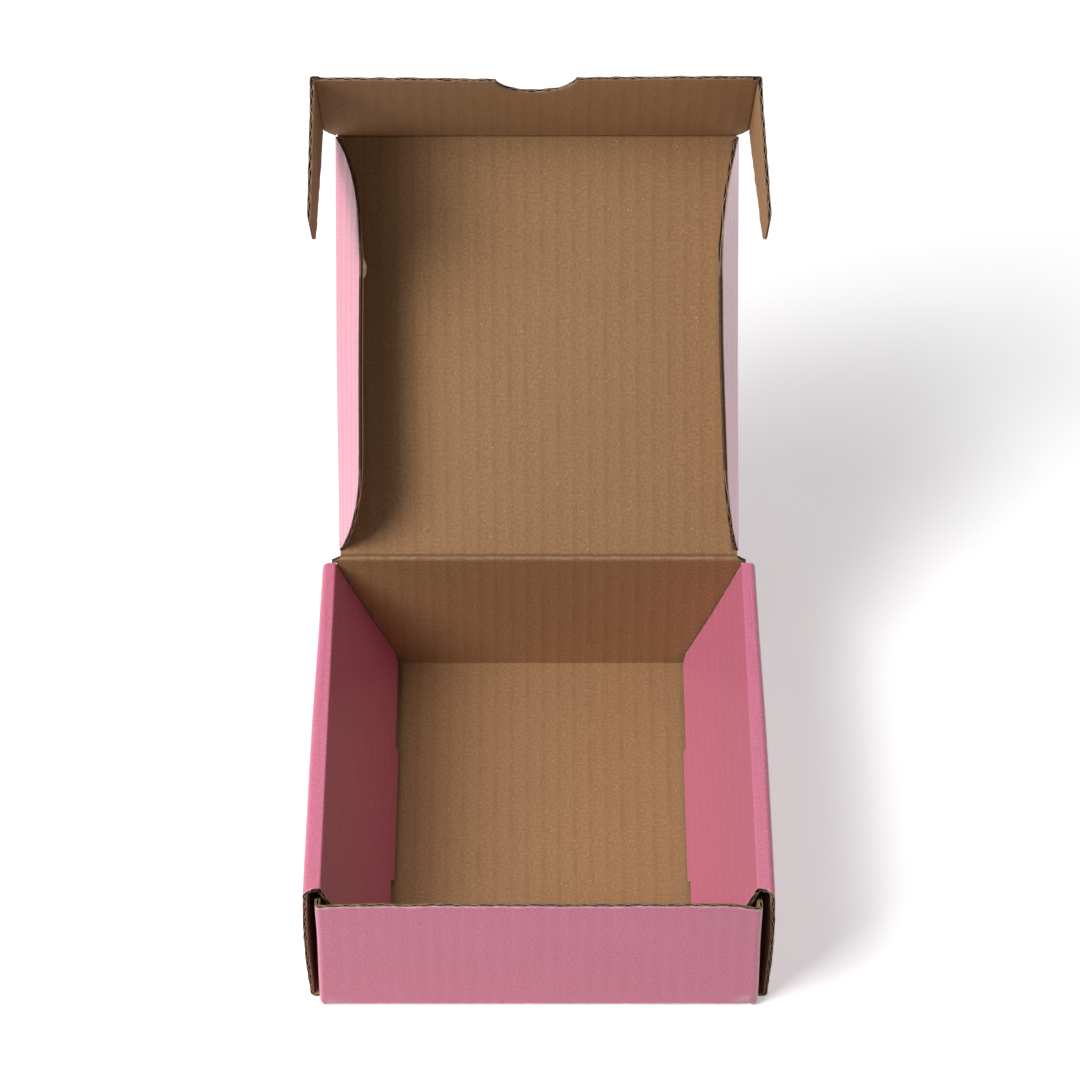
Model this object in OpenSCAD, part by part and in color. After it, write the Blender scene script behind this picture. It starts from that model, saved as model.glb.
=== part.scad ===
// Mailer box folded from one sheet of corrugated board, shown open.
// The origin is the centre of the tray's underside, +Y points to the back and +Z up.

/* [Board] */
// Thickness of the corrugated board
board_t = 2; // [1.6:0.1:2.3]
// Distance from one flute to the next
flute_pitch = 6.4; // [5.8:0.1:7.2]
// Thickness of each liner
liner_t = 0.26; // [0.2:0.01:0.35]
// Thickness of the fluted sheet between the liners
medium_t = 0.25; // [0.2:0.01:0.35]
// Width of the band where a flute is glued to a liner
flute_land = 2.2; // [2.1:0.1:3]
// How deep the flutes are open at a cut edge
flute_depth = 3; // [1:0.5:6]
// Width of the crushed band on each side of a crease
crush_w = 2.6; // [2.2:0.1:3.2]
// Running gap between two panels that fold on each other
fold_gap = 0.3; // [0.2:0.05:0.4]
// Material left at the bottom of a crease's valley, above the middle of the board
valley_h = 0.15; // [0.05:0.05:0.3]
// Outside radius of the folds that stay bent
bend_r = 2.4; // [2.35:0.05:3.5]

/* [Tray] */
// Width over the front wall
tray_w = 168; // [140:1:200]
// Depth over the front and back walls
tray_d = 170; // [140:1:200]
// Height of the front wall
front_h = 65; // [45:1:80]
// Height of the crease between the back wall and the lid
crease_h = 69; // [68.5:0.5:74]
// Length of the crease between the back wall and the lid
crease_l = 160.4; // [120:0.2:161]
// Gap that the ears slide into, between a corner flap and a side wall
ear_slot = 2.6; // [2.6:0.1:3.5]
// Width of the flat strip on top of a side wall, from the outside to its inner crease
strip_w = 6; // [5.4:0.1:6.4]
// Gap between the top of the front wall and the underside of the strips
strip_gap = 0.4; // [0.3:0.1:1]
// How far the side walls start behind the front wall's face
wall_setback = 5; // [4:0.5:8]
// How much further back the strip's inner corner starts
strip_slant = 2.5; // [0:0.5:4]
// How far the side walls end before the back wall's face
wall_back_gap = 2.6; // [2.4:0.1:5]

/* [Corner flaps] */
// Length of the four corner flaps inside the side walls
corner_flap_l = 46; // [20:1:50]
// Drop of a corner flap's top edge where the inner panel passes it
corner_flap_drop = 5.8; // [5.5:0.1:12]
// Taper of a corner flap at its free end
corner_flap_taper = 6; // [2:0.5:12]
// Gap between a corner flap and the floor
corner_flap_gap = 0.4; // [0.3:0.1:1]

/* [Inner panels] */
// How much shorter an inner panel is than the height from its crease to the floor
panel_gap = 0.6; // [0.5:0.1:6]
// Lean of the left inner panel from upright
left_panel_lean = 21.5; // [19:0.5:30]
// Lean of the right inner panel from upright
right_panel_lean = 20; // [19:0.5:30]
// Gap between an inner panel and the back wall
panel_back_gap = 0.8; // [0.5:0.1:3]
// Distance of an inner panel's front edge behind the front wall's face
panel_setback = 7.4; // [7:0.1:12]
// Small cut at the back bottom corner of an inner panel
panel_chamfer = 3; // [1:0.5:6]
// Length of the lock tab
tab_l = 67; // [40:1:74]
// Reach of the lock tab below the panel's bottom edge
tab_h = 2.9; // [1.5:0.1:2.9]
// Clearance of the lock tab in its slot in the floor
slot_gap = 0.3; // [0.2:0.1:0.6]

/* [Lid] */
// Width of the lid over its side folds
lid_w = 161; // [120:0.2:161]
// Length of the lid from crease to crease
lid_l = 169.3; // [140:0.1:205]
// Angle by which the lid is opened from closed
lid_open = 133.4; // [125:0.1:140]
// Width of a lid side flap at its middle
side_flap_w = 30; // [20:1:34]
// Lean of the lid's left side flap past square to the lid
left_flap_lean = 20; // [14:0.5:30]
// Lean of the lid's right side flap past square to the lid
right_flap_lean = 14; // [14:0.5:30]
// Distance from the lid's rear crease to the start of a side flap
side_flap_start = 3.5; // [3:0.5:10]
// Distance from the lid's rear crease to the start of the flap's straight edge
side_flap_full = 37; // [20:1:50]
// Distance from the lid's front fold to the end of the flap's straight edge
side_flap_fade = 55; // [30:1:65]
// Distance from the lid's front fold to the end of a side flap
side_flap_end = 2; // [1.5:0.5:10]

/* [Tuck flap] */
// Length of the tuck flap from its fold to its free edge
tuck_h = 65; // [50:1:66]
// Angle by which the tuck flap is folded from the lid's plane
tuck_fold = 71; // [60:0.1:90]
// Running gap between an ear and a corner flap
ear_gap = 0.3; // [0.2:0.05:0.3]
// Length of an ear from its fold to its tip
ear_l = 56; // [30:1:60]
// Angle by which the left ear stands out from square
left_ear_splay = 0.5; // [0:0.5:8]
// Angle by which the right ear stands out from square
right_ear_splay = 2; // [0:0.5:8]
// Distance from the tuck fold to the start of an ear
ear_start = 7.5; // [3:0.5:8]
// Distance from the free edge to the end of an ear's fold
ear_end = 0.6; // [0.5:0.1:3]
// Step in an ear's edge beside its fold
ear_step = 1; // [1:0.5:6]
// Distance from an ear's fold to where its slanting edge starts
ear_foot = 10; // [8:0.5:16]
// Slant of an ear's edge on the side of the lid
ear_slant = 29; // [15:1:32]
// Radius of an ear's tip corner on the side of the lid
ear_back_r = 11; // [4:0.5:12]
// Radius of an ear's tip corner at the free edge
ear_tip_r = 5; // [2:0.5:8]
// Radius of the thumb notch
thumb_r = 15; // [8:0.5:20]

/* [Hidden] */
$fn = 48;
half_t = board_t / 2;
crease_r = 0.55;
nose_h = 0.3;
far = 400;

flap_out = tray_w / 2;
wall_in = flap_out + ear_slot;
wall_out = wall_in + board_t;
strip_under = front_h + strip_gap;
strip_top = strip_under + board_t;
strip_mid = strip_under + half_t;
panel_h = strip_mid - board_t - panel_gap;
roll_x = wall_out - strip_w;
front_y = -tray_d / 2;
back_y = tray_d / 2;
wall_front = front_y + wall_setback;
wall_back = back_y - wall_back_gap;
panel_front = front_y + panel_setback;
panel_back = back_y - board_t - panel_back_gap;
tab_mid = (panel_front + panel_back) / 2;
hinge_y = back_y - half_t;
lid_rise = 180 - lid_open;
flap_crease_x = lid_w / 2 - half_t;
ear_crease_x = flap_out + ear_gap + half_t;
back_corner_r = flap_out - crease_l / 2;
pink = "#d4829f";
deep_pink = "#c9637f";
kraft = "#a37c55";

// Points of an arc, from angle a0 to a1
function arc(c, r, a0, a1, n = 8) =
    [for (i = [0 : n]) c + r * [cos(a0 + (a1 - a0) * i / n), sin(a0 + (a1 - a0) * i / n)]];

// Points of a curve that leaves p0 and reaches p2 towards p1
function curve(p0, p1, p2, n = 10) =
    [for (i = [0 : n]) let (k = i / n) (1 - k) * (1 - k) * p0 + 2 * k * (1 - k) * p1 + k * k * p2];

// Rectangle with four rounded corners
module round_rect(x0, x1, y0, y1, r) {
    translate([x0 + r, y0]) square([x1 - x0 - 2 * r, y1 - y0]);
    translate([x0, y0 + r]) square([x1 - x0, y1 - y0 - 2 * r]);
    for (x = [x0 + r, x1 - r])
        for (y = [y0 + r, y1 - r])
            translate([x, y]) circle(r);
}

// A flat shape in Y and Z, drawn out along X from x0 to x1
module along_x(x0, x1) {
    translate([x0, 0, 0]) rotate([90, 0, 90]) linear_extrude(x1 - x0) children();
}

// A flat shape in X and Z, drawn out along Y from y0 to y1
module along_y(y0, y1) {
    translate([0, y1, 0]) rotate([90, 0, 0]) linear_extrude(y1 - y0) children();
}

// A flat shape in X and Y, as thick as the board
module board() {
    translate([0, 0, -half_t]) linear_extrude(board_t) children();
}

// Section of a panel that ends at a one-way fold, with the fold at the origin and the panel
// on the left. The upper side folds inwards: it has a valley, and the lower side is round.
module fold_root(l) {
    polygon([
        [-l, -half_t], [0, -half_t], [0, valley_h], [-half_t, valley_h],
        [-crush_w, half_t], [-l, half_t]
    ]);
    intersection() {
        circle(half_t);
        translate([-half_t, -half_t]) square([board_t, half_t + valley_h]);
    }
}

// Section of the panel that turns on that fold, on its right
module fold_leaf(l) {
    difference() {
        polygon([
            [0, -half_t], [l, -half_t], [l, half_t], [crush_w, half_t],
            [half_t, valley_h], [0, valley_h]
        ]);
        circle(half_t + fold_gap);
    }
}

// Section of a panel that ends upwards at a crease that folds both ways
module crease_root(l) {
    polygon([
        [-half_t, -l], [half_t, -l], [half_t, -crush_w], [crease_r, 0],
        [-crease_r, 0], [-half_t, -crush_w]
    ]);
    circle(crease_r);
}

// Section of the panel that turns on that crease, on its right
module crease_leaf(l) {
    nose = crease_r + fold_gap;
    polygon([
        [nose, -nose_h], [crush_w, -half_t], [l, -half_t], [l, half_t],
        [crush_w, half_t], [nose, nose_h]
    ]);
}

// Floor, outer side walls and the strips rolled over on top of them
module side_walls() {
    difference() {
        along_y(wall_front, wall_back) {
            difference() {
                round_rect(-wall_out, wall_out, 0, strip_top, bend_r);
                round_rect(-wall_in, wall_in, board_t, strip_under, bend_r - board_t);
                translate([-roll_x - crush_w, board_t]) square([2 * (roll_x + crush_w), strip_top]);
            }
            for (side = [0, 1])
                mirror([side, 0])
                    translate([-roll_x, strip_mid])
                        mirror([0, 1]) fold_root(wall_in - roll_x);
        }
        for (side = [0, 1])
            mirror([side, 0, 0]) {
                strip_end();
                wall_flutes();
            }
    }
}

// What the slanted cut takes off the front end of the left strip
module strip_end() {
    translate([0, 0, strip_under - half_t])
        linear_extrude(2 * board_t)
            polygon([
                [-wall_out, wall_front], [-roll_x + board_t, wall_front - 1],
                [-roll_x + board_t, wall_front + strip_slant], [-roll_x, wall_front + strip_slant]
            ]);
}

// Opening of one flute at a cut edge, standing on its liner
module flute_cell() {
    w = flute_pitch - flute_land;
    h = board_t - 2 * liner_t - medium_t;
    r = (w * w / 4 + h * h) / (2 * h);
    intersection() {
        translate([0, h - r]) circle(r);
        translate([-w / 2, 0]) square([w, h]);
    }
}

// Openings of all flutes along a cut edge from a to b, above and below the fluted sheet
module flute_cells(a, b) {
    w = flute_pitch - flute_land;
    first = (a + w / 2) / flute_pitch;
    last = (b - w / 2) / flute_pitch;
    for (k = [ceil(first) : floor(last)])
        translate([k * flute_pitch, liner_t - half_t]) flute_cell();
    for (k = [ceil(first - 0.5) : floor(last - 0.5)])
        translate([(k + 0.5) * flute_pitch, half_t - liner_t]) mirror([0, 1]) flute_cell();
}

// Open flutes in the top edge of the front wall
module front_flutes() {
    reach = flap_out - crush_w;
    translate([0, front_y + half_t, front_h - flute_depth])
        linear_extrude(flute_depth + 1) flute_cells(-reach, reach);
}

// Open flutes in the front end of the left side wall
module wall_flutes() {
    along_y(wall_front - 1, wall_front + flute_depth)
        translate([-wall_in - half_t, strip_top]) rotate(-90)
            flute_cells(bend_r, strip_top - bend_r);
}

// Outline of the front wall, and of the back wall with its round top corners
module front_outline() {
    cut = board_t + corner_flap_gap;
    polygon([
        [-flap_out + cut, 0], [flap_out - cut, 0], [flap_out, cut], [flap_out, front_h],
        [-flap_out, front_h], [-flap_out, cut]
    ]);
}

module back_outline() {
    cut = board_t + corner_flap_gap;
    top = crease_h + crease_r;
    shoulder = top - back_corner_r;
    polygon(concat(
        [[-flap_out + cut, 0], [flap_out - cut, 0], [flap_out, cut]],
        arc([flap_out - back_corner_r, shoulder], back_corner_r, 0, 90),
        arc([back_corner_r - flap_out, shoulder], back_corner_r, 90, 180),
        [[-flap_out, cut]]
    ));
}

// Floor with the front and back walls folded up from it
module end_walls() {
    intersection() {
        along_x(-flap_out, flap_out) {
            difference() {
                round_rect(front_y, back_y, 0, crease_h + bend_r, bend_r);
                round_rect(front_y + board_t, back_y - board_t, board_t, far, bend_r - board_t);
                translate([front_y - 1, front_h]) square([tray_d / 2, far]);
                translate([0, crease_h - crush_w]) square([tray_d, far]);
            }
            translate([hinge_y, crease_h]) crease_root(crush_w + 0.5);
        }
        union() {
            along_y(front_y, 0) front_outline();
            along_y(0, back_y) back_outline();
        }
        linear_extrude(far) round_rect(-flap_out, flap_out, front_y, back_y, bend_r);
    }
}

// Side view of a front corner flap, and of a back one that stays under the strips
module front_flap_outline() {
    low = board_t + corner_flap_gap;
    end = front_y + corner_flap_l;
    polygon([
        [front_y, low], [front_y + bend_r, low], [end, low + corner_flap_taper],
        [end, front_h - corner_flap_drop - corner_flap_taper],
        [panel_front - 0.5, front_h - corner_flap_drop],
        [wall_front, front_h], [front_y, front_h]
    ]);
}

module back_flap_outline() {
    low = board_t + corner_flap_gap;
    end = back_y - corner_flap_l;
    polygon([
        [back_y, low], [back_y - bend_r, low], [end, low + corner_flap_taper],
        [end, front_h - corner_flap_drop - corner_flap_taper],
        [back_y - bend_r, front_h - corner_flap_drop], [back_y, front_h - corner_flap_drop]
    ]);
}

// Flaps turned back from the ends of the front and back walls, inside the side walls
module corner_flaps() {
    intersection() {
        linear_extrude(far)
            difference() {
                round_rect(-flap_out, flap_out, front_y, back_y, bend_r);
                round_rect(
                    -flap_out + board_t, flap_out - board_t,
                    front_y + board_t, back_y - board_t, bend_r - board_t
                );
            }
        along_x(-flap_out, flap_out) {
            front_flap_outline();
            back_flap_outline();
        }
    }
}

// Slots in the floor that the lock tabs snap into
module tab_slots() {
    reach = half_t + slot_gap;
    for (side = [-1, 1])
        translate([side * roll_x - reach, tab_mid - tab_l / 2 - slot_gap, -1])
            cube([2 * reach, tab_l + 2 * slot_gap, board_t + 2]);
}

module tray() {
    color(pink)
        difference() {
            union() {
                side_walls();
                end_walls();
                corner_flaps();
            }
            tab_slots();
            front_flutes();
        }
}

// Inner panel of the left side in its own plane: X runs down the panel from its crease
module inner_panel() {
    tab_front = tab_mid - tab_l / 2;
    tab_back = tab_mid + tab_l / 2;
    tip = panel_h + tab_h;
    intersection() {
        along_y(panel_front, panel_back) mirror([0, 1]) fold_leaf(tip);
        board()
            polygon([
                [0, panel_front], [panel_h, panel_front], [panel_h, tab_front],
                [tip, tab_front + tab_h / 2], [tip, tab_back - tab_h / 2],
                [panel_h, tab_back], [panel_h, panel_back - panel_chamfer],
                [panel_h - panel_chamfer, panel_back], [0, panel_back]
            ]);
    }
}

module left_inner_panel() {
    color(deep_pink)
        translate([-roll_x, 0, strip_mid]) rotate([0, 90 - left_panel_lean, 0]) inner_panel();
}

module right_inner_panel() {
    color(deep_pink)
        mirror([1, 0, 0])
            translate([-roll_x, 0, strip_mid]) rotate([0, 90 - right_panel_lean, 0]) inner_panel();
}

// Places what is drawn in the lid's own frame: Y runs up the lid and Z is its inside
module on_lid() {
    translate([0, hinge_y, crease_h]) rotate([lid_rise, 0, 0]) children();
}

module lid() {
    color(kraft)
        on_lid()
            intersection() {
                along_y(0, lid_l + board_t) {
                    for (side = [0, 1])
                        mirror([side, 0]) translate([flap_crease_x, 0]) fold_root(flap_crease_x);
                }
                along_x(-far, far) {
                    crease_leaf(lid_l - board_t);
                    translate([lid_l, 0]) fold_root(2 * board_t);
                }
            }
}

// Side flap of the lid in its own plane: X runs out from its fold and Y along the lid
module side_flap() {
    start = [0, side_flap_start];
    full = [side_flap_w, side_flap_full];
    fade = [side_flap_w, lid_l - side_flap_fade];
    end = [0, lid_l - side_flap_end];
    near_corner = [side_flap_w, side_flap_start + 0.4 * (side_flap_full - side_flap_start)];
    far_corner = [side_flap_w, end[1] - 0.35 * (end[1] - fade[1])];
    intersection() {
        along_y(start[1], end[1]) fold_leaf(side_flap_w);
        board() polygon(concat(curve(start, near_corner, full), curve(fade, far_corner, end)));
    }
}

module folded_side_flap(lean) {
    on_lid() translate([flap_crease_x, 0, 0]) rotate([0, -90 - lean, 0]) side_flap();
}

module right_lid_flap() {
    color(pink) folded_side_flap(right_flap_lean);
}

module left_lid_flap() {
    color(pink) mirror([1, 0, 0]) folded_side_flap(left_flap_lean);
}

// Places what is drawn in the tuck flap's own frame: Y runs to its free edge, Z is its inside
module on_tuck_flap() {
    on_lid() translate([0, lid_l, 0]) rotate([tuck_fold, 0, 0]) children();
}

// Outline of the tuck flap, cut in at its ends beside the lid, with a round thumb notch
module tuck_outline() {
    neck = flap_crease_x;
    side = ear_crease_x + half_t;
    low = ear_start - 1;
    difference() {
        polygon([
            [-neck, 0], [neck, 0], [ear_crease_x, low], [side, low], [side, tuck_h],
            [-side, tuck_h], [-side, low], [-ear_crease_x, low]
        ]);
        translate([0, tuck_h]) circle(thumb_r);
    }
}

// Open flutes in the tuck flap's free edge and round its thumb notch
module tuck_flutes() {
    reach = ear_crease_x - crush_w;
    intersection() {
        along_y(0, tuck_h + 1) flute_cells(-reach, reach);
        union() {
            translate([-reach, tuck_h - flute_depth, -half_t])
                cube([2 * reach, flute_depth + 1, board_t]);
            translate([0, tuck_h, -half_t]) cylinder(r = thumb_r + flute_depth, h = board_t);
        }
    }
}

module tuck_flap() {
    color(kraft)
        on_tuck_flap()
            difference() {
                intersection() {
                    along_x(-far, far) fold_leaf(tuck_h);
                    along_y(0, tuck_h) {
                        for (side = [0, 1])
                            mirror([side, 0])
                                translate([ear_crease_x, 0]) fold_root(ear_crease_x);
                    }
                    board() tuck_outline();
                }
                tuck_flutes();
            }
}

// Outline of an ear: X runs out from its fold and Y along the tuck flap
module ear_outline() {
    low = ear_start;
    high = tuck_h - ear_end;
    back_x = ear_l - ear_back_r;
    slant_start = low + ear_step;
    back_y0 = slant_start + (back_x + ear_back_r * sin(ear_slant) - ear_foot) * tan(ear_slant);
    back_y1 = min(back_y0 + ear_back_r * cos(ear_slant), high - ear_tip_r);
    polygon(concat(
        [[0, low], [ear_step, low], [ear_foot, slant_start]],
        arc([back_x, back_y1], ear_back_r, ear_slant - 90, 0),
        arc([ear_l - ear_tip_r, high - ear_tip_r], ear_tip_r, 0, 90),
        [[0, high]]
    ));
}

// Ear in its own plane, with open flutes at the end that continues the free edge
module ear() {
    low = ear_start;
    high = tuck_h - ear_end;
    difference() {
        intersection() {
            along_y(low, high) fold_leaf(ear_l);
            board() ear_outline();
        }
        along_y(high - flute_depth, high + 1)
            translate([-ear_crease_x, 0])
                flute_cells(ear_crease_x + crush_w, ear_crease_x + ear_l - ear_tip_r);
    }
}

module folded_ear(splay) {
    on_tuck_flap() translate([ear_crease_x, 0, 0]) rotate([0, splay - 90, 0]) ear();
}

module right_ear() {
    color(kraft) folded_ear(right_ear_splay);
}

module left_ear() {
    color(kraft) mirror([1, 0, 0]) folded_ear(left_ear_splay);
}

tray();
left_inner_panel();
right_inner_panel();
lid();
left_lid_flap();
right_lid_flap();
tuck_flap();
left_ear();
right_ear();
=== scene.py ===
"""Looks of the corrugated mailer box: fluted board panels, creases, paper materials and light."""

import math

import bpy
import numpy as np
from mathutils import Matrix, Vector


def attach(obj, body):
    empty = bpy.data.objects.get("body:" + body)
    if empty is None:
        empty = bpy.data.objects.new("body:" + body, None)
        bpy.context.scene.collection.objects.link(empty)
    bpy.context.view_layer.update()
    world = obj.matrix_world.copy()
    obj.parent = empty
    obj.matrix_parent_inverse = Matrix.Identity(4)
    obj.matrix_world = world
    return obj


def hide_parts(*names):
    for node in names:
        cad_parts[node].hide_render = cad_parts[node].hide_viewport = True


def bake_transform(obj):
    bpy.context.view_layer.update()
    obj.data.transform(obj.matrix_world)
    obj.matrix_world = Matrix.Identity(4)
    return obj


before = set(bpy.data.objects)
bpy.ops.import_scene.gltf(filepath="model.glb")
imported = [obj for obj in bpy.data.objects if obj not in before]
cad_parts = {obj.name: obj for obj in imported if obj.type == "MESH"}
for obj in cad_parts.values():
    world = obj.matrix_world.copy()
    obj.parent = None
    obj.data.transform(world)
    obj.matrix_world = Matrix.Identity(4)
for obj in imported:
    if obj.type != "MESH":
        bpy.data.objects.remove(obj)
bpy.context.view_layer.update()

# Board, in millimetres like every length up to the finished meshes: its thickness, the pitch of
# its flutes, its liners and fluted medium, and the ripple that the flutes press into its faces
THICK = 2.0
HALF = THICK / 2
PITCH = 6.4
LINER = 0.26
MEDIUM = 0.2
WASHBOARD = 0.035
FACE = HALF - WASHBOARD
MM = 0.001
QUARTER = math.pi / 2

# How far into the board each trace of a fold, a cut end or a pinched edge reaches
FOLD_REACH = 1.2
OPEN_REACH = 1.1
PRESS_REACH = 1.6
WEAR_REACH = 0.5
WAVE_REACH = 4
PINCH_REACH = 1.5
# How much thicker a frayed liner is, how much thicker and how much flatter the medium is where
# it shows, how far a cut end waves, and how deep the medium is sunk in both liners
FRAY = 0.5
OPEN_MEDIUM = 0.06
OPEN_DROP = 0.2
WAVE = 0.15
SUNK = 0.03

# Points of the meshes: their distance across the flutes, their rows from an end of a board
# inward, and their steps round a bend
STEP = 0.8
NEAR_ROWS = np.array([0.0, 0.3, 0.8, 1.6, 3.0])
ARC_STEPS = 6
# Skin of a fold: its reach to each side, and how far from the fold it starts to bend
CRUSH = 2.6
BLEND_REACH = 1.3
# Its rows of points on the outside and inside, by their distance from the fold. The inside's
# lowest row lies midway between the places of its two panels at FLOOR_ROW
OUTER_ROWS = [-CRUSH, -1.9, -1.3, -0.8, -0.4, 0.0]
INNER_ROWS = [CRUSH, 2.1, 1.7, 1.35, 1.05, 0.8, 0.55, 0.3]
FLOOR_ROW = 0.1
# Thickness and depth that show at its open ends
RIM = 0.3
HOLLOW = 0.9

# Places of the folds, as in the solids
SIDE = {-1: "left", 1: "right"}
FRONT_Y, BACK_Y = -85.0, 85.0
BEND = 1.4
CORNER_R = 1.2
FLAP_X = 84.0
WALL_X = 87.6
ROLL_X, STRIP_Z = 82.6, 66.4
FRONT_H = 65.0
CREASE_Z = 69.0
SLOT_X0, SLOT_X1 = 81.3, 83.9
SLOT_Y0, SLOT_Y1 = -31.5, 36.1
LID_L, LID_X = 169.3, 79.5
LID_RISE = math.radians(46.6)
TUCK_H, EAR_X = 65.0, 85.3
TUCK_TURN = math.radians(71.6)
SIDE_FOLD = {-1: math.radians(110.0), 1: math.radians(104.0)}
EAR_FOLD = {-1: math.radians(89.5), 1: math.radians(86.8)}
PANEL_FOLD = {-1: math.radians(68.5), 1: math.radians(70.0)}

# Inner panels with their lock tabs. PANEL_X stands for their fold in x along the sheet
PANEL_X = 160.0
PANEL_Y0, PANEL_Y1 = -77.6, 82.2
PANEL_H, TAB_H = 63.8, 2.9
TAB_Y0, TAB_Y1 = -31.2, 35.8
PANEL_CHAMFER = 3
TAB_SLANT = 1.5

# Corner flaps: where they leave the front or back wall, their length and how much they taper
FLAP_ROOT_X = FLAP_X - THICK - 0.4
CORNER_L = 46 - THICK - CORNER_R
CORNER_TAPER = 6

# Lid's side flaps: their width, their further lean in degrees at places along the fold, and the
# stretch of inner liner that has come off the flutes, with its height
WIDE = 30.0
LEAN_Y = [5, 20, 45, 90, 130, 150, 165]
LEAN = {-1: [-2.5, -2.5, -1, 0, 1, 3.5, 5], 1: [-4, -4, -2.5, 0, 1, 0, -2.5]}
LOOSE = {-1: (111.5, 121.5, 1.5), 1: (118.0, 131.0, 0.8)}

# Thumb notch of the tuck flap, an arc whose centre lies beyond the edge
NOTCH_R, NOTCH_UP = 15.9, 3.2
NOTCH_X = math.sqrt(NOTCH_R**2 - NOTCH_UP**2)

# Ears, by the distance from their fold: a step, a slanting edge and two round corners, of which
# the first starts where the slant ends
EAR_L = 56.0
EAR_STEP = (4, 10)
EAR_STEP_Y = (7.5, 8.5)
EAR_SLANT = math.radians(29)
EAR_SLANT_END = 50.33
EAR_CENTRE, EAR_R = (45.0, 40.48), 11.0
EAR_TIP_R = 5.0

# How far the real box strays from the solids: the tuck flap's shift, the lid's skew, the inner
# panels' bow, the sag of the front wall's top edge at its left and right end, and its foot's
# push forward and, at the corners, sideways
TUCK_SHIFT = -0.4
LID_SKEW = 0.7
PANEL_BOW = 0.5
SAG = (1.0, 2.4)
FOOT_OUT, FOOT_WIDE = 0.8, 0.7

# Places of the materials in MATERIALS
PINK, KRAFT, EDGE = 0, 1, 2


def wobble(t, seed, size, reach):
    """A smooth irregular curve over t, of the given reach, whose bumps are about size long."""
    waves, peak = 5, 2.6
    rng = np.random.default_rng(seed)
    t = np.asarray(t, float)
    total = np.zeros_like(t)
    for k in range(waves):
        phase, stretch = rng.uniform(0, 2 * math.pi), rng.uniform(0.7, 1.4)
        turns = t * (k + 1) * stretch / (2.5 * size)
        total = total + np.sin(2 * math.pi * turns + phase)
    return total * reach / peak


def smooth(t):
    """Eases from 0 to 1 as t does."""
    t = np.clip(t, 0, 1)
    return t * t * (3 - 2 * t)


def vec(*parts):
    """Stacks coordinates into points."""
    return np.stack(np.broadcast_arrays(*[np.asarray(p, float) for p in parts]), -1)


class Shape:
    """Collects the points and faces of one piece."""

    def __init__(self):
        self.points, self.sheet, self.wear_and_painted_light = [], [], []
        self.faces, self.mats, self.flat = [], [], []
        self.count = 0

    def add(self, points, sheet, wear_and_painted_light):
        """Adds points and returns their numbers in the same grid."""
        shape = points.shape[:-1]
        n = int(np.prod(shape))
        self.points.append(points.reshape(-1, 3))
        self.sheet.append(np.broadcast_to(sheet, shape + (2,)).reshape(-1, 2))
        self.wear_and_painted_light.append(np.broadcast_to(wear_and_painted_light, shape).reshape(-1))
        self.count += n
        return np.arange(self.count - n, self.count).reshape(shape)

    def quads(self, a, b, c, d, mat, flat, flip):
        """Adds four-sided faces between the points of four equal grids."""
        quads = np.stack([a, b, c, d], -1).reshape(-1, 4)
        self.faces.append(quads[:, ::-1] if flip else quads)
        self.mats.append(np.full(len(quads), mat))
        self.flat.append(np.full(len(quads), flat))

    def build(self, name, materials):
        """Makes the object, in metres."""
        faces = np.concatenate(self.faces)
        mesh = bpy.data.meshes.new(name)
        mesh.from_pydata((np.concatenate(self.points) * MM).tolist(), [], faces.tolist())
        for m in materials:
            mesh.materials.append(m)
        mesh.polygons.foreach_set("material_index", np.concatenate(self.mats).astype(np.int32))
        mesh.polygons.foreach_set("use_smooth", ~np.concatenate(self.flat))
        self.add_layers(mesh)
        mesh.update()
        obj = bpy.data.objects.new(name, mesh)
        bpy.context.scene.collection.objects.link(obj)
        return obj

    def add_layers(self, mesh):
        """Gives the mesh its places on the sheet, in decimetres, and its scuffing together with the
        painted light of its creases.
        """
        loops = np.zeros(len(mesh.loops), np.int32)
        mesh.loops.foreach_get("vertex_index", loops)
        sheet = np.concatenate(self.sheet)[loops] / 100
        uv = mesh.uv_layers.new(name="sheet")
        uv.data.foreach_set("uv", sheet.astype(np.float32).ravel())
        # Above 0 this attribute is real scuffing, or a painted highlight on the hinge; below 0 it is
        # painted shade in creases and hollows.
        wear_and_painted_light = mesh.attributes.new("wear_and_painted_light", "FLOAT", "POINT")
        wear_and_painted_light.data.foreach_set("value", np.concatenate(self.wear_and_painted_light).astype(np.float32))


def finish_board(shape, body):
    """Builds the boards of one body, which take the place of its solid and ride on it."""
    obj = shape.build(body + "_board", MATERIALS)
    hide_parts(body)
    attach(obj, body)


# Rows and columns of points

def columns(*stops):
    """Values across the flutes between stops, about STEP apart, with each stop among them."""
    parts = []
    for a, b in zip(stops[:-1], stops[1:]):
        n = max(1, math.ceil(abs(b - a) / STEP - 1e-6))
        parts.append(np.linspace(a, b, n + 1)[:-1])
    parts.append(np.array([stops[-1]]))
    return np.concatenate(parts)


def row_places(a, b, shares):
    """Rows between the ends a and b of each column, close together near the ends."""
    a, b = a[:, None], b[:, None]
    last = NEAR_ROWS[-1]
    inner = a + last + (b - a - 2 * last) * np.asarray(shares, float)[None, :]
    return np.concatenate([a + NEAR_ROWS, inner, b - NEAR_ROWS[::-1]], 1)


def through(marks, total):
    """Shares of a length of rows, of which one goes through each mark."""
    last = NEAR_ROWS[-1]
    return (np.array(sorted(marks)) - last) / (total - 2 * last)


def even(n):
    """Shares of n evenly spaced rows between the ends."""
    return (np.arange(n) + 0.5) / n


def arc_marks(start, run):
    """Places along a line from the start to the end of a bend that is run long."""
    return [start + run * k / ARC_STEPS for k in range(ARC_STEPS + 1)]


def constant(value):
    """The same place at each x."""
    return lambda x: np.full(np.shape(x), float(value))


# Fluted board

def corners(n):
    """The four corners of each cell of a grid of numbered points."""
    return n[:-1, :-1], n[1:, :-1], n[1:, 1:], n[:-1, 1:]


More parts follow.
